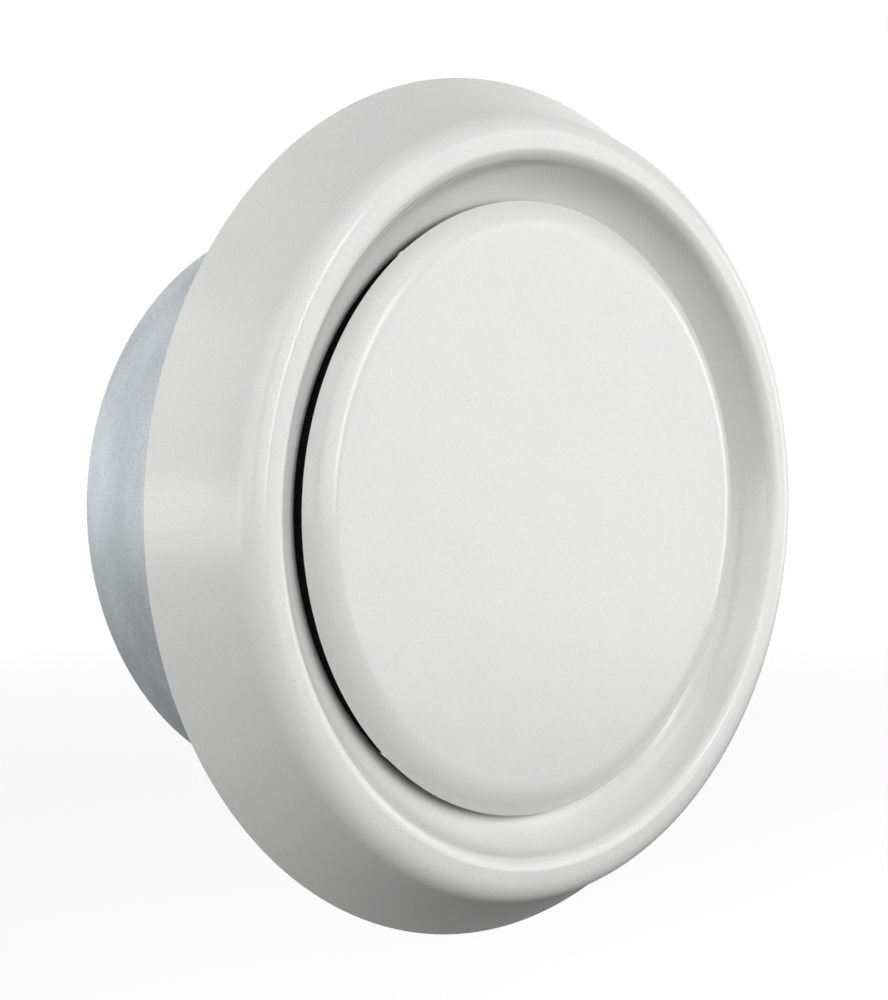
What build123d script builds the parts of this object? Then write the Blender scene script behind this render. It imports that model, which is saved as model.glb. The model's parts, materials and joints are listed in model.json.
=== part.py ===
from build123d import *
import os
from math import asin, cos, degrees, radians, sin, sqrt

# Adjustable disc valve for the end of a ventilation duct, in its mounting frame. Millimetres.
#
# The duct axis is Y. The origin is on it, in the ceiling plane against which the valve's rim and
# the mounting ring lie. The front looks along -Y, into the room, and +Z is up. "Forward" is the
# distance from the ceiling plane into the room; what lies inside the duct has a negative one.

# ---------------------------------------------------------------- driving dimensions

# Clearances
running_gap = 0.05          # radial, round the spindle in the pieces that it turns in
loose_gap = 0.2             # radial, round a shank in a plain hole
sliding_gap = 0.3           # between pieces that pass each other without touching

# Mounting frame: a rolled sleeve for the duct, and the ring that is screwed to the ceiling
sleeve_radius = 62.0        # outside, for the 125 mm duct
sleeve_length = 53.8        # behind the ceiling plane
sleeve_sheet = 0.7
sleeve_bend = 0.5           # inside radius of the turned lip
lip_width = 3.6             # how far the lip reaches over the ring
ring_sheet = 1.0
ring_inset = 7.8            # edge of the ring inside the valve's rim
ring_edge_height = 2.4      # turned edge of the ring
ring_edge_bend = 0.8
screw_hole_radius = 2.5
screw_count = 4

# Valve body: one pressed shell, from the rim over the crest and through the throat to the neck
body_sheet = 1.0
neck_gap = 2.4              # from the neck to the sleeve, filled by the seal and the spring clips
cove_width = 11.8           # from the neck's bore to the crest
crest_width = 2.2
skirt_width = 13.1          # from the crest to the rim
crest_height = 17.3
shoulder_radius = 5.5
shoulder_turn = 64.0        # degrees of bend from the crest to the skirt
inner_bend_radius = 3.4
inner_bend_turn = 68.0      # degrees of bend from the crest to the cove
throat_radius = 3.0
throat_depth = 7.7          # from the crest back to the highest line of the throat
neck_margin = 2.5           # neck behind the bridge's tabs
rim_trim = 2.0              # band that is cut square off the skirt, behind the ceiling plane

# Valve disc and what holds it on the spindle
disc_sheet = 1.0
disc_overlap = 2.1          # rim of the disc beyond the bore of the neck
disc_opening = 2.0          # rim of the disc in front of the throat, as set here
disc_edge_radius = 8.3
disc_edge_turn = 50.0       # degrees of bend from the face to the rim
hub_sheet = 1.2
hub_brim_width = 11.5
hub_cup_gap = 1.5           # between the spindle's head and the bend of the cup's floor
hub_cup_depth = 4.0
hub_bend = 1.0
absorber_inset = 0.7        # edge of the foam inside the flat part of the disc
absorber_thickness = 18.4
absorber_hole_gap = 1.0     # radial, round the brim of the hub

# Spindle and its travel
spindle_radius = 4.0
spindle_head_radius = 8.0
spindle_head_height = 3.0
spindle_tail = 2.5          # spindle behind the retaining clip
spindle_chamfer = 1.0
thread_pitch = 1.25
closing_travel = 1.4
opening_travel = 18.0
lock_nut_travel = 4.0
parked_gap = 0.6            # between the two nuts when the valve is closed

# Nuts, washers and the retaining clip
nut_sides = 6
nut_across_flats = 13.0
nut_chamfer_angle = 30.0
bridge_nut_height = 6.5
disc_nut_height = 5.0
lock_nut_height = 4.0
washer_radius = 7.4
disc_washer_thickness = 1.6
lock_washer_thickness = 1.2
stop_washer_radius = 9.0
stop_washer_thickness = 1.6
clip_thickness = 1.0
clip_groove_depth = 1.0
clip_radius = 6.6
clip_relief = 0.6
clip_prong_count = 3
clip_prong_width = 2.4
clip_mouth_width = 5.6

# Bridge across the neck
bridge_width = 22.0
bridge_sheet = 2.0
bridge_tab_length = 9.0
bridge_outer_bend = 2.6
bridge_inner_bend = 1.0
bridge_rivet_radius = 2.0
bridge_rivet_spread = 11.0  # between the two rivets of a tab

# Spring clips that hold the valve in the sleeve
spring_sheet = 0.5
spring_width = 12.0
spring_leaf_length = 8.5
spring_tail = 1.2           # bend behind the neck's rear edge
spring_crown = 5.0          # from the bend to where the leaf presses on the sleeve
spring_crown_radius = 6.0
spring_leg_play = 0.05      # straight part left between the bend and each of its legs
spring_seat_gap = 0.02      # from the edges of the foot to the neck's bore
spring_rivet_radius = 1.6
spring_rivet_gap = 3.6      # from the tip of the leaf to the middle of the rivet
spring_foot_margin = 3.4    # from the middle of the rivet to the end of the foot
spring_angles = (90.0, 210.0, 330.0)

# Rivet heads, as shares of the shank's radius
rivet_head_ratio = 1.8
rivet_dome_ratio = 0.45
rivet_set_ratio = 1.5

# Foam seal round the neck
seal_width = 7.0

# ---------------------------------------------------------------- places that follow from them

sleeve_bore_radius = sleeve_radius - sleeve_sheet
seal_radius = sleeve_bore_radius - sliding_gap
neck_radius = sleeve_bore_radius - neck_gap
neck_bore_radius = neck_radius - body_sheet
crest_inner_radius = neck_bore_radius + cove_width
crest_outer_radius = crest_inner_radius + crest_width
rim_radius = crest_outer_radius + skirt_width

ring_bore_radius = sleeve_radius + sleeve_bend + loose_gap
ring_radius = rim_radius - ring_inset
ring_flat_radius = ring_radius - ring_sheet - ring_edge_bend
lip_radius = sleeve_radius + lip_width
screw_circle_radius = (lip_radius + ring_flat_radius) / 2

throat_height = crest_height - throat_depth
throat_centre = Vector(neck_bore_radius + throat_radius, throat_height - throat_radius)
disc_rim_radius = neck_bore_radius + disc_overlap
disc_rim_height = throat_height + disc_opening
disc_face_height = disc_rim_height + disc_edge_radius * (1 - cos(radians(disc_edge_turn)))
disc_flat_radius = disc_rim_radius - disc_edge_radius * sin(radians(disc_edge_turn))

hub_cup_radius = spindle_head_radius + hub_cup_gap + hub_bend
hub_radius = hub_cup_radius + hub_brim_width
disc_back = disc_face_height - disc_sheet
hub_floor_front = disc_back - hub_cup_depth
hub_floor_back = hub_floor_front - hub_sheet
absorber_radius = disc_flat_radius - absorber_inset
absorber_hole_radius = hub_radius + absorber_hole_gap
disc_washer_back = hub_floor_back - disc_washer_thickness
disc_nut_back = disc_washer_back - disc_nut_height
bridge_nut_front = disc_nut_back - closing_travel - parked_gap
bridge_front = bridge_nut_front - bridge_nut_height
bridge_back = bridge_front - bridge_sheet
bridge_tab_end = bridge_back - bridge_tab_length
neck_end = bridge_tab_end - neck_margin
lock_washer_back = bridge_back - lock_washer_thickness
lock_nut_back = lock_washer_back - lock_nut_height
stop_washer_front = lock_nut_back - lock_nut_travel - opening_travel - sliding_gap
clip_front = stop_washer_front - stop_washer_thickness
clip_back = clip_front - clip_thickness
spindle_end = clip_back - spindle_tail

tab_inner_radius = neck_bore_radius - bridge_sheet
bridge_rivet_turn = degrees(asin(bridge_rivet_spread / 2 / tab_inner_radius))
bridge_rivet_angles = (
    -bridge_rivet_turn,
    bridge_rivet_turn,
    180 - bridge_rivet_turn,
    180 + bridge_rivet_turn,
)
bridge_rivet_forward = (bridge_back + bridge_tab_end) / 2
spring_end = neck_end - spring_tail
spring_tip = spring_end + spring_leaf_length
spring_rivet_forward = spring_tip + spring_rivet_gap
spring_foot_end = spring_rivet_forward + spring_foot_margin


def radial_plane(angle):
    """Plane through the axis: x runs outwards at this angle from +X towards +Z, y runs forward."""
    turn = radians(angle)
    return Plane(origin=(0, 0, 0), x_dir=(cos(turn), 0, sin(turn)), z_dir=(sin(turn), 0, -cos(turn)))


def front_plane(forward):
    """Plane square to the axis that faces the room, so that an extrusion from it runs forward."""
    return Plane.XZ.offset(forward)


SECTION = radial_plane(0)


def rivet_section(angle, forward, inner_seat, outer_seat, shank_radius):
    """Half section of a rivet through the neck's wall: set end inside, domed head outside."""
    head_radius = rivet_head_ratio * shank_radius
    set_radius = rivet_set_ratio * shank_radius
    dome = rivet_dome_ratio * shank_radius
    with BuildSketch(radial_plane(angle)) as half:
        with BuildLine():
            Polyline(
                (outer_seat + dome, forward),
                (inner_seat - dome, forward),
                (inner_seat - dome, forward + set_radius),
                (inner_seat, forward + set_radius),
                (inner_seat, forward + shank_radius),
                (outer_seat, forward + shank_radius),
                (outer_seat, forward + head_radius),
            )
            RadiusArc(
                (outer_seat, forward + head_radius),
                (outer_seat + dome, forward),
                (head_radius**2 + dome**2) / (2 * dome),
            )
        make_face()
    return half.sketch


def rivet_hole_section(angle, forward, shank_radius):
    """Half section of the rivet's hole, from the axis out through the neck's wall."""
    with BuildSketch(radial_plane(angle)) as half:
        with Locations((neck_bore_radius / 2, forward)):
            Rectangle(
                neck_bore_radius,
                shank_radius,
                align=(Align.MIN, Align.MIN),
            )
    return half.sketch


def rivet_axis(angle, forward):
    """Radial line at this angle and distance forward."""
    plane = radial_plane(angle)
    return Axis(plane.from_local_coords((0, forward)), plane.x_dir)


def nut_outline(bore_radius):
    """Hexagon of the shared key width, with its bore, in the sketch that is open."""
    RegularPolygon(radius=nut_across_flats / 2, side_count=nut_sides, major_radius=False)
    Circle(radius=bore_radius, mode=Mode.SUBTRACT)


def nut_envelope(back, height):
    """Half section of the cones that take the corners off a nut, with its own axis as one side."""
    flat_radius = nut_across_flats / 2
    corner_radius = flat_radius / cos(radians(180 / nut_sides))
    corner_drop = (corner_radius - flat_radius) * sin(radians(nut_chamfer_angle))
    with BuildSketch(SECTION) as half:
        with BuildLine():
            Polyline(
                (0, back),
                (flat_radius, back),
                (corner_radius, back + corner_drop),
                (corner_radius, back + height - corner_drop),
                (flat_radius, back + height),
                (0, back + height),
                close=True,
            )
        make_face()
    return half.sketch


# ---------------------------------------------------------------- mounting frame

# Rolled sleeve with its front edge turned out over the mounting ring.
with BuildPart() as mounting_sleeve:
    with BuildSketch(SECTION):
        with BuildLine():
            tube = Line((sleeve_radius, -sleeve_length), (sleeve_radius, ring_sheet - sleeve_bend))
            bend = JernArc(tube @ 1, tube % 1, sleeve_bend, -90)
            Line(bend @ 1, (lip_radius, ring_sheet))
            offset(amount=sleeve_sheet, side=Side.LEFT)
        make_face()
    revolve(axis=Axis.Y)
mounting_sleeve.part.label = "mounting_sleeve"

# Pressed ring that lies on the ceiling, held by the sleeve's lip, with its outer edge turned up.
with BuildPart() as mounting_ring:
    with BuildSketch(SECTION):
        with BuildLine():
            base = Line((ring_bore_radius, 0), (ring_flat_radius, 0))
            turn = JernArc(base @ 1, base % 1, ring_sheet + ring_edge_bend, 90)
            Line(turn @ 1, (ring_radius, ring_edge_height))
            offset(amount=ring_sheet, side=Side.LEFT)
        make_face()
    revolve(axis=Axis.Y)
    with BuildSketch(front_plane(0)):
        with PolarLocations(screw_circle_radius, screw_count, start_angle=180 / screw_count):
            Circle(radius=screw_hole_radius)
    extrude(amount=ring_sheet, mode=Mode.SUBTRACT)
mounting_ring.part.label = "mounting_ring"

# ---------------------------------------------------------------- valve body

# The front skin is drawn from the rim inwards; the cove is the arc that leaves the crest's inner
# bend and meets the throat's circle, both tangent.
with BuildPart() as valve_body:
    with BuildSketch(SECTION):
        with BuildLine():
            shoulder = CenterArc(
                (crest_outer_radius, crest_height - shoulder_radius),
                shoulder_radius,
                90 - shoulder_turn,
                shoulder_turn,
            )
            TangentArc((shoulder @ 0, (rim_radius, 0)), tangent=-(shoulder % 0))
            crest = Line(shoulder @ 1, (crest_inner_radius, crest_height))
            inner_bend = JernArc(crest @ 1, crest % 1, inner_bend_radius, inner_bend_turn)
            heading = inner_bend % 1
            inwards = Vector(heading.Y, -heading.X)
            reach = (inner_bend @ 1) - throat_centre
            cove_radius = (reach.length**2 - throat_radius**2) / (
                2 * (throat_radius - inwards.dot(reach))
            )
            cove_centre = (inner_bend @ 1) + inwards * cove_radius
            throat_start = throat_centre + (cove_centre - throat_centre).normalized() * throat_radius
            cove = TangentArc((inner_bend @ 1, throat_start), tangent=heading)
            throat = TangentArc(
                (throat_start, (neck_bore_radius, throat_centre.Y)), tangent=cove % 1
            )
            Line(throat @ 1, (neck_bore_radius, neck_end))
            offset(amount=body_sheet, side=Side.LEFT)
        make_face()
        with Locations((rim_radius, 0)):
            Rectangle(
                2 * rim_trim,
                rim_trim,
                align=(Align.CENTER, Align.MAX),
                mode=Mode.SUBTRACT,
            )
    revolve(axis=Axis.Y)
    for angles, forward, radius in (
        (bridge_rivet_angles, bridge_rivet_forward, bridge_rivet_radius),
        (spring_angles, spring_rivet_forward, spring_rivet_radius),
    ):
        for angle in angles:
            revolve(
                profiles=rivet_hole_section(angle, forward, radius),
                axis=rivet_axis(angle, forward),
                mode=Mode.SUBTRACT,
            )
valve_body.part.label = "valve_body"

# Foam band on the neck, just behind the throat; it closes the gap to the sleeve.
with BuildPart() as neck_seal:
    with BuildSketch(front_plane(throat_centre.Y - seal_width)):
        Circle(radius=seal_radius)
        Circle(radius=neck_radius, mode=Mode.SUBTRACT)
    extrude(amount=seal_width)
neck_seal.part.label = "neck_seal"

# ---------------------------------------------------------------- bridge

# Strip across the neck; its ends are bent back and lie along the neck's wall.
with BuildPart() as bridge:
    with BuildSketch(front_plane(bridge_tab_end)):
        Circle(radius=neck_bore_radius)
        Rectangle(2 * neck_bore_radius, bridge_width, mode=Mode.INTERSECT)
    extrude(amount=bridge_front - bridge_tab_end)
    with BuildSketch(front_plane(bridge_tab_end)):
        Circle(radius=tab_inner_radius)
    extrude(amount=bridge_tab_length, mode=Mode.SUBTRACT)
    corners = bridge.edges().filter_by(GeomType.CIRCLE)
    outer_corners, inner_corners, _ = corners.group_by(Axis.Y)
    fillet(outer_corners, radius=bridge_outer_bend)
    fillet(inner_corners, radius=bridge_inner_bend)
    with BuildSketch(front_plane(bridge_back)):
        Circle(radius=spindle_radius + loose_gap)
    extrude(amount=bridge_sheet, mode=Mode.SUBTRACT)
    for angle in bridge_rivet_angles:
        revolve(
            profiles=rivet_hole_section(angle, bridge_rivet_forward, bridge_rivet_radius),
            axis=rivet_axis(angle, bridge_rivet_forward),
            mode=Mode.SUBTRACT,
        )
bridge.part.label = "bridge"

# Two rivets through each tab and the neck's wall.
tab_set_seat = sqrt(tab_inner_radius**2 - (rivet_set_ratio * bridge_rivet_radius) ** 2)
with BuildPart() as bridge_rivets:
    for angle in bridge_rivet_angles:
        revolve(
            profiles=rivet_section(
                angle, bridge_rivet_forward, tab_set_seat, neck_radius, bridge_rivet_radius
            ),
            axis=rivet_axis(angle, bridge_rivet_forward),
        )
bridge_rivets.part.label = "bridge_rivets"

# Nut welded to the front of the bridge; the spindle screws through it.
with BuildPart() as bridge_nut:
    with BuildSketch(front_plane(bridge_front)):
        nut_outline(spindle_radius + running_gap)
    extrude(amount=bridge_nut_height)
    revolve(
        profiles=nut_envelope(bridge_front, bridge_nut_height), axis=Axis.Y, mode=Mode.INTERSECT
    )
bridge_nut.part.label = "bridge_nut"

# Washer and nut that lock the spindle from behind the bridge.
with BuildPart() as lock_washer:
    with BuildSketch(front_plane(lock_washer_back)):
        Circle(radius=washer_radius)
        Circle(radius=spindle_radius + loose_gap, mode=Mode.SUBTRACT)
    extrude(amount=lock_washer_thickness)
lock_washer.part.label = "lock_washer"

with BuildPart() as lock_nut:
    with BuildSketch(front_plane(lock_nut_back)):
        nut_outline(spindle_radius + running_gap)
    extrude(amount=lock_nut_height)
    revolve(
        profiles=nut_envelope(lock_nut_back, lock_nut_height), axis=Axis.Y, mode=Mode.INTERSECT
    )
lock_nut.part.label = "lock_nut"

# ---------------------------------------------------------------- valve disc and spindle

# Pressed disc: a flat face with its edge rolled back towards the throat.
with BuildPart() as valve_disc:
    with BuildSketch(SECTION):
        with BuildLine():
            face = Line((0, disc_face_height), (disc_flat_radius, disc_face_height))
            JernArc(face @ 1, face % 1, disc_edge_radius, -disc_edge_turn)
            offset(amount=disc_sheet, side=Side.RIGHT)
        make_face()
    revolve(axis=Axis.Y)
valve_disc.part.label = "valve_disc"

# Pressed cup whose brim is welded to the back of the disc and whose floor holds the spindle.
with BuildPart() as disc_hub:
    with BuildSketch(SECTION):
        with BuildLine():
            FilletPolyline(
                (hub_radius, disc_back),
                (hub_cup_radius, disc_back),
                (hub_cup_radius, hub_floor_front),
                (spindle_radius + loose_gap, hub_floor_front),
                radius=[hub_sheet + hub_bend, hub_bend],
            )
            offset(amount=hub_sheet, side=Side.LEFT)
        make_face()
    revolve(axis=Axis.Y)
disc_hub.part.label = "disc_hub"

# Ring of soft foam glued to the back of the disc round the hub; it damps the noise of the air.
with BuildPart() as disc_absorber:
    with BuildSketch(front_plane(disc_back - absorber_thickness)):
        Circle(radius=absorber_radius)
        Circle(radius=absorber_hole_radius, mode=Mode.SUBTRACT)
    extrude(amount=absorber_thickness)
disc_absorber.part.label = "disc_absorber"

with BuildPart() as disc_washer:
    with BuildSketch(front_plane(disc_washer_back)):
        Circle(radius=washer_radius)
        Circle(radius=spindle_radius + loose_gap, mode=Mode.SUBTRACT)
    extrude(amount=disc_washer_thickness)
disc_washer.part.label = "disc_washer"

with BuildPart() as disc_nut:
    with BuildSketch(front_plane(disc_nut_back)):
        nut_outline(spindle_radius + running_gap)
    extrude(amount=disc_nut_height)
    revolve(
        profiles=nut_envelope(disc_nut_back, disc_nut_height), axis=Axis.Y, mode=Mode.INTERSECT
    )
disc_nut.part.label = "disc_nut"

# Spindle: its head sits in the cup, and a groove near its tail holds the retaining clip.
groove_radius = spindle_radius - clip_groove_depth
with BuildPart() as spindle:
    with BuildSketch(SECTION):
        with BuildLine():
            Polyline(
                (0, hub_floor_front + spindle_head_height),
                (spindle_head_radius, hub_floor_front + spindle_head_height),
                (spindle_head_radius, hub_floor_front),
                (spindle_radius, hub_floor_front),
                (spindle_radius, clip_front),
                (groove_radius, clip_front),
                (groove_radius, clip_back),
                (spindle_radius, clip_back),
                (spindle_radius, spindle_end + spindle_chamfer),
                (spindle_radius - spindle_chamfer, spindle_end),
                (0, spindle_end),
                close=True,
            )
        make_face()
    revolve(axis=Axis.Y)
spindle.part.label = "spindle"

# Washer and retaining clip that stop the disc when it is fully open.
with BuildPart() as stop_washer:
    with BuildSketch(front_plane(clip_front)):
        Circle(radius=stop_washer_radius)
        Circle(radius=spindle_radius + running_gap, mode=Mode.SUBTRACT)
    extrude(amount=stop_washer_thickness)
stop_washer.part.label = "stop_washer"

with BuildPart() as stop_clip:
    with BuildSketch(front_plane(clip_back)):
        Circle(radius=clip_radius)
        Circle(radius=spindle_radius + clip_relief, mode=Mode.SUBTRACT)
        with PolarLocations(0, clip_prong_count, start_angle=90):
            Rectangle(
                clip_radius - clip_relief, clip_prong_width, align=(Align.MIN, Align.CENTER)
            )
        Rectangle(
            clip_mouth_width, 2 * clip_radius, align=(Align.CENTER, Align.MAX), mode=Mode.SUBTRACT
        )
        Circle(radius=groove_radius, mode=Mode.SUBTRACT)
    extrude(amount=clip_thickness)
stop_clip.part.label = "stop_clip"

# ---------------------------------------------------------------- spring clips

# Each clip is one strip: a foot riveted inside the neck, a bend round the neck's rear edge, and
# a leaf that presses outwards on the sleeve. The strip is flat, so its edges set its distances.
spring_half = spring_width / 2
foot_outer = sqrt(neck_bore_radius**2 - spring_half**2) - spring_seat_gap
foot_middle = foot_outer - spring_sheet / 2
foot_inner = foot_outer - spring_sheet
crown_middle = sqrt(sleeve_bore_radius**2 - spring_half**2) - sliding_gap - spring_sheet / 2
leaf_middle = neck_radius + spring_sheet
spring_bend_radius = (leaf_middle - foot_middle) / 2 - spring_leg_play

spring_clips = []
for angle in spring_angles:
    with BuildPart() as spring_clip:
        with BuildSketch(radial_plane(angle)):
            with BuildLine():
                FilletPolyline(
                    (foot_middle, spring_foot_end),
                    (foot_middle, spring_end),
                    (leaf_middle, spring_end),
                    (crown_middle, spring_end + spring_crown),
                    (leaf_middle, spring_tip),
                    radius=[spring_bend_radius, spring_bend_radius, spring_crown_radius],
                )
                offset(amount=spring_sheet / 2, side=Side.BOTH)
            make_face()
        extrude(amount=spring_half, both=True)
        revolve(
            profiles=rivet_hole_section(angle, spring_rivet_forward, spring_rivet_radius),
            axis=rivet_axis(angle, spring_rivet_forward),
            mode=Mode.SUBTRACT,
        )
    spring_clips.append(spring_clip)
    spring_clip.part.label = f"spring_clip_{len(spring_clips)}"

with BuildPart() as clip_rivets:
    for angle in spring_angles:
        revolve(
            profiles=rivet_section(
                angle, spring_rivet_forward, foot_inner, neck_radius, spring_rivet_radius
            ),
            axis=rivet_axis(angle, spring_rivet_forward),
        )
clip_rivets.part.label = "clip_rivets"

# ---------------------------------------------------------------- export

pieces = [
    mounting_sleeve,
    mounting_ring,
    valve_body,
    neck_seal,
    bridge,
    bridge_rivets,
    bridge_nut,
    lock_washer,
    lock_nut,
    valve_disc,
    disc_hub,
    disc_absorber,
    disc_washer,
    disc_nut,
    spindle,
    stop_washer,
    stop_clip,
    *spring_clips,
    clip_rivets,
]
os.makedirs("parts", exist_ok=True)
for piece in pieces:
    export_step(piece.part, f"parts/{piece.part.label}.step")
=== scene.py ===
"""Looks of an adjustable disc valve for a ceiling duct, with its mounting frame.

The duct axis is Y, the front looks along -Y and +Z is up. Sizes are in metres. "Forward" is the
distance from the ceiling plane into the room, which is -Y.
"""

from __future__ import annotations

import json
import logging
import math
from dataclasses import dataclass, field
from enum import Enum
from typing import Iterable

import bpy
from mathutils import Matrix, Vector

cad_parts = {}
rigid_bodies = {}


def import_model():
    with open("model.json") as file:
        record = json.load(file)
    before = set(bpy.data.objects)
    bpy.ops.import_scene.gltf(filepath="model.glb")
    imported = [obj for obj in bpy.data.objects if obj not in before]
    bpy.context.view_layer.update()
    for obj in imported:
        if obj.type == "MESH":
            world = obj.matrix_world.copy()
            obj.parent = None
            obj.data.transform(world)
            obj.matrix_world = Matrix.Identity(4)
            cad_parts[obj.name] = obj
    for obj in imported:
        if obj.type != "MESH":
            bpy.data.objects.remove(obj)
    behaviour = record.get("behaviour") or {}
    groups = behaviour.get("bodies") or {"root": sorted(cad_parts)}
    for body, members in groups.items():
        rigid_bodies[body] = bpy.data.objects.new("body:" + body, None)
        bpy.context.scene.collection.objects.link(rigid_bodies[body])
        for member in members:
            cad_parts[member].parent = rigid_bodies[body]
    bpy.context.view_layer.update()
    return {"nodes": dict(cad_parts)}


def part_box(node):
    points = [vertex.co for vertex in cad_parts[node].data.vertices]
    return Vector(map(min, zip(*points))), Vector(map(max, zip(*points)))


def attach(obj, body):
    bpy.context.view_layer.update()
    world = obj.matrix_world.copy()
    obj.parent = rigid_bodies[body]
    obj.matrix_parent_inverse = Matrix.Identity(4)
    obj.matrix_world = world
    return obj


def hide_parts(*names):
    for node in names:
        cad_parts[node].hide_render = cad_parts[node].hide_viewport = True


log = logging.getLogger("disc_valve")
MM = 0.001
BLACK = (0.0, 0.0, 0.0)
WHITE = (1.0, 1.0, 1.0)
MERGE = 0.002 * MM  # points closer than this become one
FRONT_BAND = 0.1 * MM  # depth within which a skin's faces count as its front
SHEET_ANGLE = 40.0  # degrees, and a sheet's sharper edges stay sharp


def towards(azimuth: float, elevation: float) -> Vector:
    """Find a direction from the object.

    Args:
        azimuth: Angle from the front towards +X, in degrees.
        elevation: Angle above the level, in degrees.

    Returns:
        The direction, of length one.
    """
    turn, rise = math.radians(azimuth), math.radians(elevation)
    return Vector(
        (math.sin(turn) * math.cos(rise), -math.cos(turn) * math.cos(rise), math.sin(rise))
    )


# ------------------------------------------------------------------ finishes


class Nodes:
    """Node tree of one material, with short calls for adding and linking nodes."""

    def __init__(self, name: str) -> None:
        """Make an empty material with its output and a Principled shader.

        Args:
            name: The material's name.
        """
        self.material = bpy.data.materials.new(name)
        self.material.use_nodes = True
        self.tree = self.material.node_tree
        self.tree.nodes.clear()
        self.output = self.tree.nodes.new("ShaderNodeOutputMaterial")
        self.shader = self.tree.nodes.new("ShaderNodeBsdfPrincipled")
        self.link(self.shader.outputs["BSDF"], self.output.inputs["Surface"])

    def add(self, kind: str, **inputs: object) -> bpy.types.Node:
        """Add a node and set its inputs by name.

        Args:
            kind: The node's class name.
            **inputs: Socket names with underscores for spaces, and their values.

        Returns:
            The new node.
        """
        node = self.tree.nodes.new(kind)
        for key, value in inputs.items():
            node.inputs[key.replace("_", " ")].default_value = value
        return node

    def link(self, start: bpy.types.NodeSocket, end: bpy.types.NodeSocket) -> None:
        """Join two sockets."""
        self.tree.links.new(start, end)

    def place(self) -> bpy.types.NodeSocket:
        """Return the object's own coordinates."""
        return self.add("ShaderNodeTexCoord").outputs["Object"]

    def noise(
        self, size: float, detail: float = 2.0, stretch: Vector | None = None
    ) -> bpy.types.NodeSocket:
        """Add a noise whose blotches are about this size.

        Args:
            size: Size of a blotch, in metres.
            detail: Octaves of finer noise.
            stretch: How much finer the noise is along each axis, if it isn't even.

        Returns:
            The noise's value.
        """
        node = self.add("ShaderNodeTexNoise", Scale=1.0 / size, Detail=detail)
        source = self.place()
        if stretch is not None:
            mapping = self.add("ShaderNodeMapping", Scale=stretch)
            self.link(source, mapping.inputs["Vector"])
            source = mapping.outputs["Vector"]
        self.link(source, node.inputs["Vector"])
        return node.outputs["Fac"]

    def ramp(
        self, source: bpy.types.NodeSocket, stops: Iterable[tuple[float, tuple[float, ...]]]
    ) -> bpy.types.NodeSocket:
        """Turn a value into a colour.

        Args:
            source: The value.
            stops: Positions with their colours, lowest first.

        Returns:
            The colour socket.
        """
        node = self.add("ShaderNodeValToRGB")
        stops = list(stops)
        while len(node.color_ramp.elements) < len(stops):
            node.color_ramp.elements.new(1.0)
        for element, (position, colour) in zip(node.color_ramp.elements, stops):
            element.position = position
            element.color = (*colour[:3], 1.0)
        self.link(source, node.inputs["Fac"])
        return node.outputs["Color"]

    def grade(
        self, source: bpy.types.NodeSocket, span: tuple[float, float], to: tuple[float, float]
    ) -> bpy.types.Node:
        """Map a value's span to another one, and hold it beyond the ends.

        Args:
            source: The value.
            span: Where the value starts and ends.
            to: What the result is there.

        Returns:
            The node that maps it.
        """
        node = self.add("ShaderNodeMapRange")
        for name, value in zip(("From Min", "From Max", "To Min", "To Max"), (*span, *to)):
            node.inputs[name].default_value = value
        self.link(source, node.inputs["Value"])
        return node

    def multiply(
        self, colour: bpy.types.NodeSocket, by: bpy.types.NodeSocket
    ) -> bpy.types.NodeSocket:
        """Multiply a colour.

        Args:
            colour: The colour.
            by: Another colour or a value.

        Returns:
            The product's socket.
        """
        node = self.add("ShaderNodeMixRGB", Fac=1.0)
        node.blend_type = "MULTIPLY"
        self.link(colour, node.inputs["Color1"])
        self.link(by, node.inputs["Color2"])
        return node.outputs["Color"]

    def paint(self, colour: bpy.types.NodeSocket) -> None:
        """Make a socket the base colour."""
        self.link(colour, self.shader.inputs["Base Color"])

    def bump(self, source: bpy.types.NodeSocket, strength: float, depth: float) -> None:
        """Raise the surface by a value.

        Args:
            source: The height.
            strength: Share of the slope that shows.
            depth: Height of the relief, in metres.
        """
        node = self.add("ShaderNodeBump", Strength=strength, Distance=depth)
        self.link(source, node.inputs["Height"])
        self.link(node.outputs["Normal"], self.shader.inputs["Normal"])

    def set(self, **inputs: object) -> None:
        """Set sockets of the Principled shader.

        Args:
            **inputs: Socket names with underscores for spaces, and their values.
        """
        for key, value in inputs.items():
            self.shader.inputs[key.replace("_", " ")].default_value = value


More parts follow.
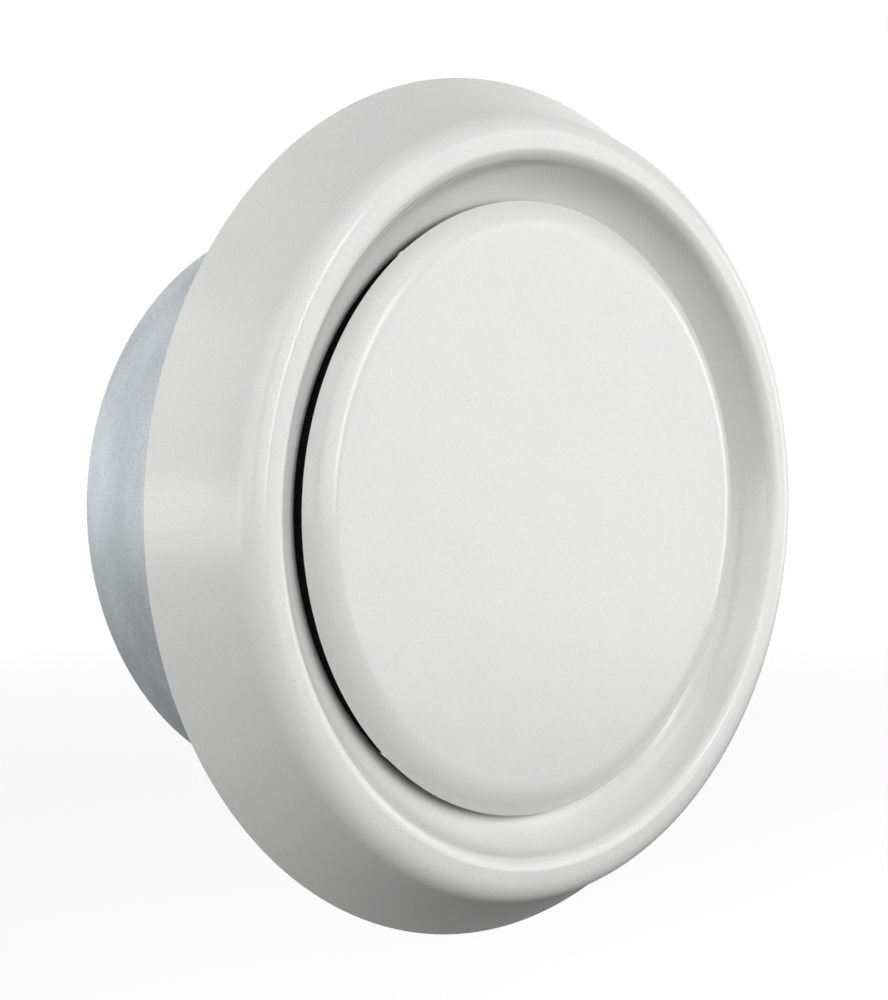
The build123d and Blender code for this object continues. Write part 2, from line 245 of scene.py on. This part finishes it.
@dataclass(frozen=True)
class PowderCoat:
    """Baked white powder coat, with a faint orange peel, a fine grain and a few specks of dust."""

    colour: tuple[float, float, float] = (0.80, 0.80, 0.79)
    shade: tuple[float, float, float] = (0.775, 0.777, 0.772)
    cloud_size: float = 14 * MM
    dust: tuple[float, float, float] = (0.36, 0.36, 0.35)
    dust_size: float = 0.5 * MM
    dust_stops: tuple[float, float] = (0.80, 0.83)
    grain: float = 0.955
    grain_size: float = 0.45 * MM
    roughness: float = 0.2
    peel_size: float = 1.6 * MM
    peel_depth: float = 0.02 * MM
    peel_strength: float = 0.25

    def make(self) -> bpy.types.Material:
        """Make the material.

        Returns:
            The material.
        """
        nodes = Nodes("white_powder_coat")
        cloud = nodes.noise(self.cloud_size, detail=3.0)
        tint = nodes.ramp(cloud, [(0.3, self.shade), (0.7, self.colour)])
        fleck = nodes.ramp(
            nodes.noise(self.dust_size, detail=1.0), zip(self.dust_stops, (BLACK, WHITE))
        )
        dusted = nodes.add("ShaderNodeMixRGB", Color2=(*self.dust, 1.0))
        nodes.link(fleck, dusted.inputs["Fac"])
        nodes.link(tint, dusted.inputs["Color1"])
        grain = nodes.ramp(
            nodes.noise(self.grain_size, detail=3.0), [(0.35, (self.grain,) * 3), (0.65, WHITE)]
        )
        nodes.paint(nodes.multiply(dusted.outputs["Color"], grain))
        nodes.set(Roughness=self.roughness, Specular_IOR_Level=0.5)
        nodes.bump(nodes.noise(self.peel_size, detail=2.0), self.peel_strength, self.peel_depth)
        return nodes.material


@dataclass(frozen=True)
class GalvanisedSheet:
    """Smooth hot-dip galvanised sheet with soft bluish clouds, and painted shade: darker towards
    the ceiling plane, where the rim shades it, and lighter at the far end.
    """

    light: tuple[float, float, float] = (0.70, 0.745, 0.77)
    dark: tuple[float, float, float] = (0.55, 0.59, 0.61)
    cloud_size: float = 16 * MM
    cloud_stretch: tuple[float, float, float] = (1.0, 1.6, 0.6)
    grain: float = 0.84
    grain_size: float = 0.6 * MM
    # Painted shade along Y: the colour is multiplied by the first share at the ceiling plane and
    # by the second share at the far end.
    painted_shade_reach: tuple[float, float] = (0.0, 55 * MM)
    painted_shade_shares: tuple[float, float] = (0.70, 1.14)
    metal: float = 0.45
    roughness: float = 0.55
    drawn_size: float = 0.8 * MM
    drawn_stretch: tuple[float, float, float] = (1.0, 0.12, 1.0)
    drawn_depth: float = 0.02 * MM
    drawn_strength: float = 0.12

    def make(self) -> bpy.types.Material:
        """Make the material.

        Returns:
            The material.
        """
        nodes = Nodes("galvanised_sheet")
        cloud = nodes.noise(self.cloud_size, detail=5.0, stretch=Vector(self.cloud_stretch))
        tint = nodes.ramp(cloud, [(0.35, self.dark), (0.65, self.light)])
        grain = nodes.ramp(
            nodes.noise(self.grain_size, detail=2.0), [(0.3, (self.grain,) * 3), (0.7, WHITE)]
        )
        # Painted shade and light: the colour gets darker towards the ceiling plane, where the
        # valve's rim shades the sleeve, and lighter towards its far end.
        axes = nodes.add("ShaderNodeSeparateXYZ")
        nodes.link(nodes.place(), axes.inputs["Vector"])
        painted_shade = nodes.grade(axes.outputs["Y"], self.painted_shade_reach, self.painted_shade_shares)
        nodes.paint(nodes.multiply(nodes.multiply(tint, grain), painted_shade.outputs["Result"]))
        nodes.set(Metallic=self.metal, Roughness=self.roughness)
        drawn = nodes.noise(self.drawn_size, detail=2.0, stretch=Vector(self.drawn_stretch))
        nodes.bump(drawn, self.drawn_strength, self.drawn_depth)
        return nodes.material


@dataclass(frozen=True)
class ZincPlate:
    """Bright zinc plating on pressed and turned steel."""

    name: str = "zinc_plate"
    light: tuple[float, float, float] = (0.66, 0.67, 0.68)
    dark: tuple[float, float, float] = (0.52, 0.53, 0.53)
    roughness: float = 0.3
    cloud_size: float = 5 * MM
    grain_size: float = 0.35 * MM
    grain_depth: float = 0.01 * MM
    grain_strength: float = 0.15

    def make(self) -> bpy.types.Material:
        """Make the material.

        Returns:
            The material.
        """
        nodes = Nodes(self.name)
        cloud = nodes.noise(self.cloud_size, detail=4.0)
        nodes.paint(nodes.ramp(cloud, [(0.3, self.dark), (0.7, self.light)]))
        nodes.set(Metallic=1.0, Roughness=self.roughness)
        grain = nodes.noise(self.grain_size, detail=2.0)
        nodes.bump(grain, self.grain_strength, self.grain_depth)
        return nodes.material


@dataclass(frozen=True)
class Foam:
    """Dark closed-cell foam."""

    light: tuple[float, float, float] = (0.055, 0.055, 0.06)
    dark: tuple[float, float, float] = (0.02, 0.02, 0.022)
    cell_size: float = 0.6 * MM
    cell_depth: float = 0.15 * MM
    cell_strength: float = 0.6
    roughness: float = 0.95

    def make(self) -> bpy.types.Material:
        """Make the material.

        Returns:
            The material.
        """
        nodes = Nodes("foam")
        cells = nodes.add("ShaderNodeTexVoronoi", Scale=1.0 / self.cell_size)
        nodes.link(nodes.place(), cells.inputs["Vector"])
        depth = cells.outputs["Distance"]
        nodes.paint(nodes.ramp(depth, [(0.1, self.dark), (0.6, self.light)]))
        nodes.set(Roughness=self.roughness)
        nodes.bump(depth, self.cell_strength, self.cell_depth)
        return nodes.material


class Finish(Enum):
    """Finishes of the object's pieces, one for each of the record's material slots."""

    WHITE_PAINT = "white_paint"
    GALVANISED = "galvanised"
    ZINC = "zinc_plate"
    RIVET = "rivet_steel"
    SPRING = "spring_steel"
    FOAM = "foam"


class Paintbox:
    """All the finishes, each made once."""

    def __init__(self) -> None:
        """Make every material."""
        self.materials: dict[Finish, bpy.types.Material] = {
            Finish.WHITE_PAINT: PowderCoat().make(),
            Finish.GALVANISED: GalvanisedSheet().make(),
            Finish.ZINC: ZincPlate().make(),
            Finish.RIVET: ZincPlate(
                "rivet_steel", (0.58, 0.58, 0.58), (0.44, 0.44, 0.44), 0.38
            ).make(),
            Finish.SPRING: ZincPlate(
                "spring_steel", (0.30, 0.31, 0.33), (0.20, 0.205, 0.22), 0.28
            ).make(),
            Finish.FOAM: Foam().make(),
        }

    def dress(self, piece: bpy.types.Object, finish: Finish) -> None:
        """Give a new piece one finish all over.

        Args:
            piece: The piece.
            finish: Its finish.
        """
        piece.data.materials.clear()
        piece.data.materials.append(self.materials[finish])

    def dress_node(self, node: bpy.types.Object, finish: Finish) -> None:
        """Give a CAD node its finish in the material slots that it has."""
        for place in node.material_slots:
            place.material = self.materials[finish]


# ------------------------------------------------------------------ modelling


class Shop:
    """Edit-mode modelling with Blender's own operators."""

    @staticmethod
    def clear_selection() -> None:
        """Deselect every object."""
        for item in bpy.context.view_layer.objects:
            item.select_set(False)

    @classmethod
    def take(cls, piece: bpy.types.Object) -> None:
        """Make a piece the only selected and active one.

        Args:
            piece: The piece.
        """
        cls.clear_selection()
        piece.select_set(True)
        bpy.context.view_layer.objects.active = piece

    @classmethod
    def point(cls, name: str, at: Vector) -> bpy.types.Object:
        """Start a piece from a single point, and stay in edit mode with it selected.

        Args:
            name: The piece's name.
            at: Where the point lies.

        Returns:
            The piece.
        """
        cls.clear_selection()
        bpy.ops.mesh.primitive_plane_add(size=MM, location=(0, 0, 0))
        piece = bpy.context.active_object
        piece.name = name
        piece.data.name = name
        bpy.ops.object.mode_set(mode="EDIT")
        bpy.ops.mesh.select_all(action="SELECT")
        bpy.ops.mesh.merge(type="CENTER")
        bpy.ops.transform.translate(value=at)
        return piece

    @classmethod
    def finish(cls, piece: bpy.types.Object, smooth_angle: float = 35.0) -> None:
        """Leave edit mode, turn the faces outwards and shade the piece.

        Args:
            piece: The piece.
            smooth_angle: Edges sharper than this, in degrees, stay sharp.
        """
        if bpy.context.mode != "EDIT_MESH":
            cls.take(piece)
            bpy.ops.object.mode_set(mode="EDIT")
        bpy.ops.mesh.select_all(action="SELECT")
        bpy.ops.mesh.remove_doubles(threshold=MERGE)
        bpy.ops.mesh.normals_make_consistent(inside=False)
        bpy.ops.object.mode_set(mode="OBJECT")
        cls.take(piece)
        bpy.ops.object.shade_smooth_by_angle(angle=math.radians(smooth_angle))

    @classmethod
    def thicken(cls, piece: bpy.types.Object, sheet: float) -> None:
        """Leave edit mode, turn a skin's faces to the room and grow a sheet behind them.

        Args:
            piece: The skin.
            sheet: Thickness of the sheet.
        """
        bpy.ops.object.mode_set(mode="OBJECT")
        faces = piece.data.polygons
        front = min(face.center.y for face in faces) + FRONT_BAND
        if sum(face.normal.y for face in faces if face.center.y < front) > 0:
            piece.data.flip_normals()
        cls.apply(piece, "SOLIDIFY", thickness=sheet, offset=-1.0, use_even_offset=True)
        cls.finish(piece, SHEET_ANGLE)

    @classmethod
    def apply(cls, piece: bpy.types.Object, kind: str, **settings: object) -> None:
        """Add a modifier and apply it.

        Args:
            piece: The piece.
            kind: The modifier's type.
            **settings: Its settings.
        """
        cls.take(piece)
        modifier = piece.modifiers.new(kind.lower(), kind)
        for key, value in settings.items():
            setattr(modifier, key, value)
        bpy.ops.object.modifier_apply(modifier=modifier.name)


@dataclass
class Outline:
    """Half section of a turned or pressed piece, drawn with a pen and then spun round."""

    name: str
    start: tuple[float, float]
    piece: bpy.types.Object = field(init=False)
    at: Vector = field(init=False)

    def __post_init__(self) -> None:
        """Put the pen down at the start: distance from the axis, and forward."""
        self.at = Vector((self.start[0], -self.start[1], 0.0))
        self.piece = Shop.point(self.name, self.at)

    def line(self, radius: float, forward: float, steps: int) -> None:
        """Draw a straight stretch.

        Args:
            radius: End of the stretch from the axis.
            forward: End of the stretch from the ceiling plane.
            steps: Pieces to cut it into.
        """
        end = Vector((radius, -forward, 0.0))
        part = (end - self.at) / steps
        for _ in range(steps):
            bpy.ops.mesh.extrude_region_move(TRANSFORM_OT_translate={"value": part})
        self.at = end

    def arc(self, radius: float, forward: float, turn: float, steps: int) -> None:
        """Draw a round stretch about a centre.

        Args:
            radius: The centre's distance from the axis.
            forward: The centre's distance forward.
            turn: Angle in degrees, positive from outwards towards forward.
            steps: Pieces to cut it into.
        """
        centre = Vector((radius, -forward, 0.0))
        bpy.ops.mesh.spin(
            steps=steps,
            angle=math.radians(turn),
            center=centre,
            axis=(0, 0, 1),
            use_auto_merge=False,
        )
        self.at = centre + Matrix.Rotation(-math.radians(turn), 3, "Z") @ (self.at - centre)

    def spin(self, steps: int) -> bpy.types.Object:
        """Spin the outline a full turn round the axis.

        Args:
            steps: Sides of the turn.

        Returns:
            The piece, still in edit mode.
        """
        bpy.ops.mesh.select_all(action="SELECT")
        bpy.ops.mesh.spin(
            steps=steps, angle=math.tau, center=(0, 0, 0), axis=(0, 1, 0), use_auto_merge=True
        )
        bpy.ops.mesh.select_all(action="SELECT")
        bpy.ops.mesh.remove_doubles(threshold=MERGE)
        bpy.ops.mesh.normals_make_consistent(inside=False)
        return self.piece


# ------------------------------------------------------------------ valve body


@dataclass
class ValveBody:
    """White pressed shell: flared skirt, crest, cove, throat and neck."""

    paints: Paintbox
    rim_radius: float = 85.0 * MM
    crest_height: float = 17.3 * MM
    crest_outer: float = 71.7 * MM
    crest_inner: float = 70.1 * MM
    shoulder_radius: float = 5.2 * MM
    shoulder_turn: float = 64.0
    bend_radius: float = 3.0 * MM
    bend_turn: float = 68.0
    neck_bore: float = 57.9 * MM
    throat_radius: float = 4.2 * MM
    throat_height: float = 9.5 * MM
    sheet: float = 1.0 * MM
    sides: int = 288
    hollow_steps: int = 14
    shoulder_steps: int = 16
    bend_steps: int = 12
    crest_steps: int = 2
    neck_steps: int = 6

    def skirt_arc(self, low: Vector) -> tuple[Vector, float]:
        """Find the hollow arc of the skirt, tangent to the shoulder and ending at the rim.

        Args:
            low: Where the shoulder ends, as radius and forward.

        Returns:
            The arc's centre and the angle that it turns through, in degrees.
        """
        turn = math.radians(self.shoulder_turn)
        out = Vector((math.sin(turn), math.cos(turn)))
        chord = Vector((self.rim_radius, 0.0)) - low
        radius = chord.length_squared / (2 * chord.dot(out))
        centre = low + out * radius
        start = low - centre
        end = Vector((self.rim_radius, 0.0)) - centre
        return centre, math.degrees(start.angle(end))

    def cove_arc(self, high: Vector) -> tuple[Vector, float, Vector]:
        """Find the cove: the hollow arc that leaves the crest's bend and meets the throat.

        Args:
            high: Where the bend ends, as radius and forward.

        Returns:
            The arc's centre, its angle in degrees, and the throat's centre.
        """
        turn = math.radians(self.bend_turn)
        inwards = Vector((-math.sin(turn), math.cos(turn)))
        throat = Vector(
            (self.neck_bore + self.throat_radius, self.throat_height - self.throat_radius)
        )
        reach = high - throat
        radius = (reach.length_squared - self.throat_radius**2) / (
            2 * (self.throat_radius - inwards.dot(reach))
        )
        centre = high + inwards * radius
        meeting = throat + (centre - throat).normalized() * self.throat_radius
        return centre, math.degrees((high - centre).angle(meeting - centre)), throat

    def build(self) -> None:
        """Model the shell and dress it."""
        shoulder_forward = self.crest_height - self.shoulder_radius
        turn = math.radians(self.shoulder_turn)
        low = Vector(
            (
                self.crest_outer + self.shoulder_radius * math.sin(turn),
                shoulder_forward + self.shoulder_radius * math.cos(turn),
            )
        )
        skirt_centre, skirt_turn = self.skirt_arc(low)
        bend_forward = self.crest_height - self.bend_radius
        bend = math.radians(self.bend_turn)
        high = Vector(
            (
                self.crest_inner - self.bend_radius * math.sin(bend),
                bend_forward + self.bend_radius * math.cos(bend),
            )
        )
        cove_centre, cove_turn, throat = self.cove_arc(high)
        throat_turn = 90.0 - self.bend_turn + cove_turn
        neck_end = -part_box("valve_body")[1].y
        pen = Outline("valve_body_shell", (self.rim_radius, 0.0))
        pen.arc(*skirt_centre, -skirt_turn, self.hollow_steps)
        pen.arc(self.crest_outer, shoulder_forward, self.shoulder_turn, self.shoulder_steps)
        pen.line(self.crest_inner, self.crest_height, self.crest_steps)
        pen.arc(self.crest_inner, bend_forward, self.bend_turn, self.bend_steps)
        pen.arc(*cove_centre, -cove_turn, self.hollow_steps)
        pen.arc(*throat, throat_turn, self.bend_steps)
        pen.line(self.neck_bore, neck_end, self.neck_steps)
        piece = pen.spin(self.sides)
        Shop.thicken(piece, self.sheet)
        self.paints.dress(piece, Finish.WHITE_PAINT)
        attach(piece, "valve")
        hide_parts("valve_body")
        log.info("valve body: %d faces", len(piece.data.polygons))


# ------------------------------------------------------------------ valve disc


@dataclass
class ValveDisc:
    """White pressed disc with a flat face and a rolled edge."""

    paints: Paintbox
    rim_radius: float = 60.0 * MM
    rim_height: float = 11.6 * MM
    edge_radius: float = 8.3 * MM
    edge_turn: float = 50.0
    sheet: float = 1.0 * MM
    sides: int = 240
    edge_steps: int = 18
    face_steps: int = 10

    def build(self) -> None:
        """Model the disc and dress it."""
        turn = math.radians(self.edge_turn)
        face_height = self.rim_height + self.edge_radius * (1 - math.cos(turn))
        flat_radius = self.rim_radius - self.edge_radius * math.sin(turn)
        pen = Outline("valve_disc_skin", (self.rim_radius, self.rim_height))
        pen.arc(flat_radius, face_height - self.edge_radius, self.edge_turn, self.edge_steps)
        pen.line(0.0, face_height, self.face_steps)
        piece = pen.spin(self.sides)
        Shop.thicken(piece, self.sheet)
        self.paints.dress(piece, Finish.WHITE_PAINT)
        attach(piece, "disc")
        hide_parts("valve_disc")
        log.info("valve disc: %d faces", len(piece.data.polygons))


@dataclass
class FoamRingAndGapShade:
    """Dark foam ring glued to the back of the disc, with rounded rims. Its near-black colour and
    its reach beyond the CAD absorber put painted shade in the gap round the disc.
    """

    paints: Paintbox
    inner_radius: float = 23.0 * MM
    outer_radius: float = 54.6 * MM
    front: float = 13.55 * MM
    back: float = -4.8 * MM
    rounding: float = 1.2 * MM
    sides: int = 128
    flat_steps: int = 6
    rim_steps: int = 4

    def build(self) -> None:
        """Model the ring and dress it."""
        soft, flat = self.rounding, self.flat_steps
        edge = self.outer_radius - soft
        pen = Outline("disc_foam_and_gap_shade", (self.inner_radius, self.back))
        pen.line(edge, self.back, flat)
        pen.arc(edge, self.back + soft, 90.0, self.rim_steps)
        pen.line(self.outer_radius, self.front - soft, flat)
        pen.arc(edge, self.front - soft, 90.0, self.rim_steps)
        pen.line(self.inner_radius, self.front, flat)
        pen.line(self.inner_radius, self.back, flat)
        piece = pen.spin(self.sides)
        Shop.finish(piece)
        # Near-black foam: this is a real absorber, and it also serves as painted shade for the gap
        # behind the disc.
        self.paints.dress(piece, Finish.FOAM)
        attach(piece, "disc")
        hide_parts("disc_absorber")
        log.info("foam ring: %d faces", len(piece.data.polygons))


# ------------------------------------------------------------------ plain CAD nodes


NODE_FINISHES: dict[str, Finish] = {
    "mounting_sleeve": Finish.GALVANISED,
    "mounting_ring": Finish.GALVANISED,
    "neck_seal": Finish.FOAM,
    "bridge": Finish.ZINC,
    "bridge_rivets": Finish.RIVET,
    "bridge_nut": Finish.ZINC,
    "lock_washer": Finish.ZINC,
    "lock_nut": Finish.ZINC,
    "disc_hub": Finish.ZINC,
    "disc_washer": Finish.ZINC,
    "disc_nut": Finish.ZINC,
    "spindle": Finish.ZINC,
    "stop_washer": Finish.ZINC,
    "stop_clip": Finish.SPRING,
    "spring_clip_1": Finish.SPRING,
    "spring_clip_2": Finish.SPRING,
    "spring_clip_3": Finish.SPRING,
    "clip_rivets": Finish.RIVET,
}


# ------------------------------------------------------------------ studio


@dataclass
class Lamp:
    """One soft panel, aimed at the object."""

    name: str
    azimuth: float
    elevation: float
    power: float
    width: float = 0.5
    height: float = 0.5
    distance: float = 1.3

    def build(self) -> None:
        """Hang the lamp."""
        light = bpy.data.lights.new(self.name, "AREA")
        light.energy = self.power
        light.shape = "RECTANGLE"
        light.size, light.size_y = self.width, self.height
        holder = bpy.data.objects.new(self.name, light)
        bpy.context.collection.objects.link(holder)
        direction = towards(self.azimuth, self.elevation)
        holder.location = direction * self.distance
        holder.rotation_mode = "QUATERNION"
        holder.rotation_quaternion = direction.to_track_quat("Z", "Y")


@dataclass
class Studio:
    """Pale floor, white surroundings, soft lamps and the camera."""

    floor_drop: float = 0.22
    floor_size: float = 14.0
    floor_bounce: float = 0.08
    floor_glow: float = 0.75
    floor_mirror: float = 0.12
    floor_roughness: float = 0.9
    floor_tint: tuple[float, float, float] = (0.8, 0.8, 0.8)
    floor_reach: tuple[float, float] = (0.3, 2.5)
    azimuth: float = -43.31
    elevation: float = 1.61
    distance: float = 0.3748
    aim_right: float = -0.0109
    aim_up: float = 0.0015
    lens: float = 67.18
    ambient: float = 0.03
    ambient_stops: tuple[tuple[float, tuple[float, float, float]], ...] = (
        (0.35, (0.96, 0.98, 1.0)),
        (0.6, (0.05, 0.05, 0.05)),
    )
    lamps: tuple[Lamp, ...] = (
        Lamp("front_panel", 2.0, 14.0, 5.0, 0.95, 0.75),
        Lamp("top_panel", 8.0, 42.0, 1.8, 0.8, 0.4),
        Lamp("right_panel", 43.0, 11.0, 4.0, 0.55, 1.0),
        Lamp("left_panel", -60.0, 22.0, 6.6, 1.3, 1.2),
        Lamp("strip", 18.0, 14.0, 2.2, 0.08, 0.7),
        Lamp("side_panel", -88.0, -3.0, 2.6, 0.8, 0.4),
        Lamp("back_panel", -112.0, 0.0, 3.0, 0.6, 0.4),
        Lamp("far_panel", 70.0, 2.0, 2.7, 0.5, 0.7),
    )

    def surroundings(self) -> None:
        """White for what the camera and reflections see, and an even light from the front half."""
        world = bpy.data.worlds.new("studio")
        bpy.context.scene.world = world
        world.use_nodes = True
        tree = world.node_tree
        tree.nodes.clear()
        output = tree.nodes.new("ShaderNodeOutputWorld")
        mix = tree.nodes.new("ShaderNodeMixShader")
        seen = tree.nodes.new("ShaderNodeBackground")
        seen.inputs["Color"].default_value = (*WHITE, 1.0)
        even = tree.nodes.new("ShaderNodeBackground")
        even.inputs["Strength"].default_value = self.ambient
        front = tree.nodes.new("ShaderNodeSeparateXYZ")
        place = tree.nodes.new("ShaderNodeTexCoord")
        ramp = tree.nodes.new("ShaderNodeValToRGB")
        for element, (position, colour) in zip(ramp.color_ramp.elements, self.ambient_stops):
            element.position = position
            element.color = (*colour, 1.0)
        shift = tree.nodes.new("ShaderNodeMath")
        shift.operation = "MULTIPLY_ADD"
        shift.inputs[1].default_value = 0.5
        shift.inputs[2].default_value = 0.5
        tree.links.new(place.outputs["Generated"], front.inputs["Vector"])
        tree.links.new(front.outputs["Y"], shift.inputs[0])
        tree.links.new(shift.outputs["Value"], ramp.inputs["Fac"])
        tree.links.new(ramp.outputs["Color"], even.inputs["Color"])
        tree.links.new(self.seen_rays(tree), mix.inputs["Fac"])
        tree.links.new(even.outputs["Background"], mix.inputs[1])
        tree.links.new(seen.outputs["Background"], mix.inputs[2])
        tree.links.new(mix.outputs["Shader"], output.inputs["Surface"])

    @staticmethod
    def seen_rays(
        tree: bpy.types.NodeTree, mirror: bpy.types.NodeSocket | None = None
    ) -> bpy.types.NodeSocket:
        """Add up the camera, glossy and transmission rays.

        Args:
            tree: The node tree to add to.
            mirror: The share of the glossy rays, all of them by default.

        Returns:
            A socket that is one for these rays.
        """
        path = tree.nodes.new("ShaderNodeLightPath")
        total = path.outputs["Is Camera Ray"]
        for name, share in (("Is Glossy Ray", mirror), ("Is Transmission Ray", None)):
            either = tree.nodes.new("ShaderNodeMath")
            either.operation = "MULTIPLY_ADD"
            either.use_clamp = True
            either.inputs[1].default_value = 1.0
            if share:
                tree.links.new(share, either.inputs[1])
            tree.links.new(path.outputs[name], either.inputs[0])
            tree.links.new(total, either.inputs[2])
            total = either.outputs["Value"]
        return total

    def floor(self) -> None:
        """Lay the pale floor below the object, which shows white and keeps a soft shadow."""
        Shop.clear_selection()
        bpy.ops.mesh.primitive_plane_add(
            size=self.floor_size, location=(0, 0, -self.floor_drop)
        )
        floor = bpy.context.active_object
        floor.name = "studio_floor"
        nodes = Nodes("studio_floor")
        nodes.set(Base_Color=(*(self.floor_bounce,) * 3, 1.0), Roughness=self.floor_roughness)
        pale = nodes.add("ShaderNodeBsdfDiffuse", Color=(*self.floor_tint, 1.0))
        glow = nodes.add("ShaderNodeEmission", Color=(*WHITE, 1.0))
        nodes.link(self.by_distance(nodes, self.floor_glow), glow.inputs["Strength"])
        both = nodes.add("ShaderNodeAddShader")
        nodes.link(pale.outputs["BSDF"], both.inputs[0])
        nodes.link(glow.outputs["Emission"], both.inputs[1])
        mix = nodes.add("ShaderNodeMixShader")
        mirror = self.by_distance(nodes, self.floor_mirror)
        nodes.link(self.seen_rays(nodes.tree, mirror), mix.inputs["Fac"])
        nodes.link(nodes.shader.outputs["BSDF"], mix.inputs[1])
        nodes.link(both.outputs["Shader"], mix.inputs[2])
        nodes.link(mix.outputs["Shader"], nodes.output.inputs["Surface"])
        floor.data.materials.append(nodes.material)

    def by_distance(self, nodes: Nodes, near: float) -> bpy.types.NodeSocket:
        """Grade a value on the floor, from near the object to one far away.

        Args:
            nodes: The floor's node tree.
            near: The value below the object.

        Returns:
            The graded value's socket.
        """
        length = nodes.add("ShaderNodeVectorMath")
        length.operation = "LENGTH"
        nodes.link(nodes.place(), length.inputs[0])
        grade = nodes.grade(length.outputs["Value"], self.floor_reach, (near, 1.0))
        grade.interpolation_type = "SMOOTHSTEP"
        return grade.outputs["Result"]

    def camera(self) -> None:
        """Set the camera."""
        back = towards(self.azimuth, self.elevation)
        right = towards(self.azimuth + 90.0, 0.0)
        up = back.cross(right)
        data = bpy.data.cameras.new("camera")
        data.lens = self.lens
        data.sensor_width = 36.0
        data.clip_start, data.clip_end = 0.01, 50.0
        camera = bpy.data.objects.new("camera", data)
        bpy.context.collection.objects.link(camera)
        camera.matrix_world = Matrix.Translation(
            right * self.aim_right + up * self.aim_up + back * self.distance
        ) @ Matrix((right, up, back)).transposed().to_4x4()
        bpy.context.scene.camera = camera

    def build(self) -> None:
        """Set the stage."""
        self.surroundings()
        self.floor()
        for lamp in self.lamps:
            lamp.build()
        self.camera()
        bpy.context.scene.view_settings.view_transform = "Standard"


# ------------------------------------------------------------------ all together


def main() -> None:
    """Load the frame, build and dress every piece, and set the studio."""
    logging.basicConfig(level=logging.INFO, format="%(name)s: %(message)s")
    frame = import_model()
    paints = Paintbox()
    for name, finish in NODE_FINISHES.items():
        paints.dress_node(frame["nodes"][name], finish)
    ValveBody(paints).build()
    ValveDisc(paints).build()
    FoamRingAndGapShade(paints).build()
    Studio().build()


if __name__ == "__main__":
    main()
